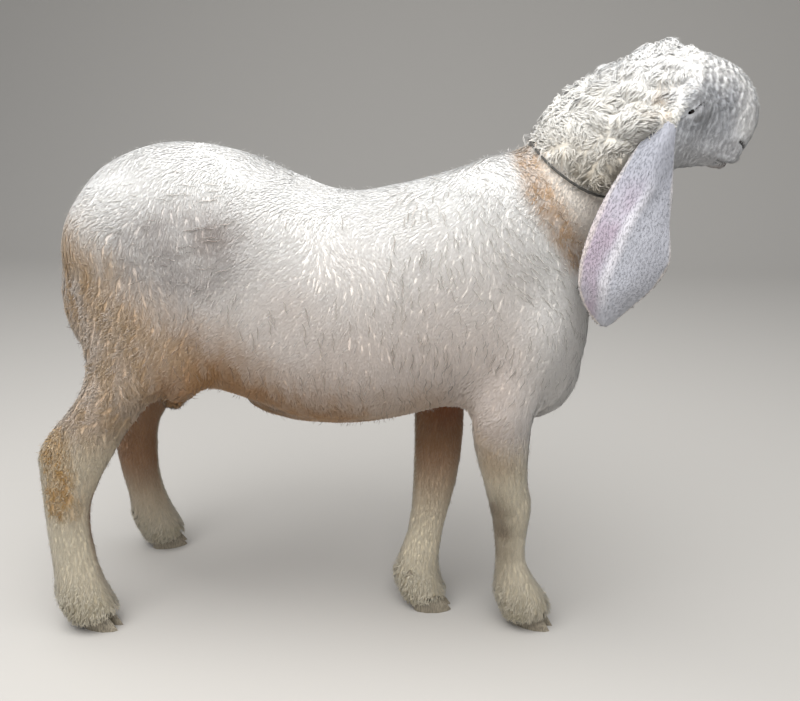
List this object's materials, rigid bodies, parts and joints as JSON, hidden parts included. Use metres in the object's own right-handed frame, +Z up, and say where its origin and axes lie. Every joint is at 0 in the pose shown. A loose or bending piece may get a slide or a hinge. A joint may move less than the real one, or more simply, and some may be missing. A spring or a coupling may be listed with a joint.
{
  "type": "shorn long-eared ram, still life-size animal model",
  "caption": "Standing shorn ram with a roman nose, long hanging ears, a curly woolly neck and cap, short dense fleece, cloven hooves and a thin neck cord.",
  "frame": {"origin": "middle of the whole model's footprint box, on the floor under the hooves", "axes": "+X towards the nose, +Y towards the animal's left side, +Z up"},
  "size_m": [1.1752, 0.3728, 1.0261],
  "materials": {
    "fleece": "short dense wool, matte",
    "face_hair": "short flat hair, matte",
    "ear_skin": "thin skin under fine short hair, matte",
    "horn": "hoof horn, slightly worn and dirty",
    "eye": "wet dark eye, glossy",
    "cord": "thin twisted black cord, matte"
  },
  "bodies": {
    "root": {"trunk": "fleece", "neck": "fleece", "tail": "fleece", "foreleg_right": "fleece", "foreleg_left": "fleece", "hindleg_right": "fleece", "hindleg_left": "fleece", "head": "face_hair", "ear_right": "ear_skin", "ear_left": "ear_skin", "claw_fore_right_outer": "horn", "claw_fore_right_inner": "horn", "claw_fore_left_outer": "horn", "claw_fore_left_inner": "horn", "claw_hind_right_outer": "horn", "claw_hind_right_inner": "horn", "claw_hind_left_outer": "horn", "claw_hind_left_inner": "horn", "dewclaw_fore_right_a": "horn", "dewclaw_fore_right_b": "horn", "dewclaw_fore_left_a": "horn", "dewclaw_fore_left_b": "horn", "dewclaw_hind_right_a": "horn", "dewclaw_hind_right_b": "horn", "dewclaw_hind_left_a": "horn", "dewclaw_hind_left_b": "horn", "eye_right": "eye", "eye_left": "eye", "neck_cord": "cord"}
  },
  "joints": []
}
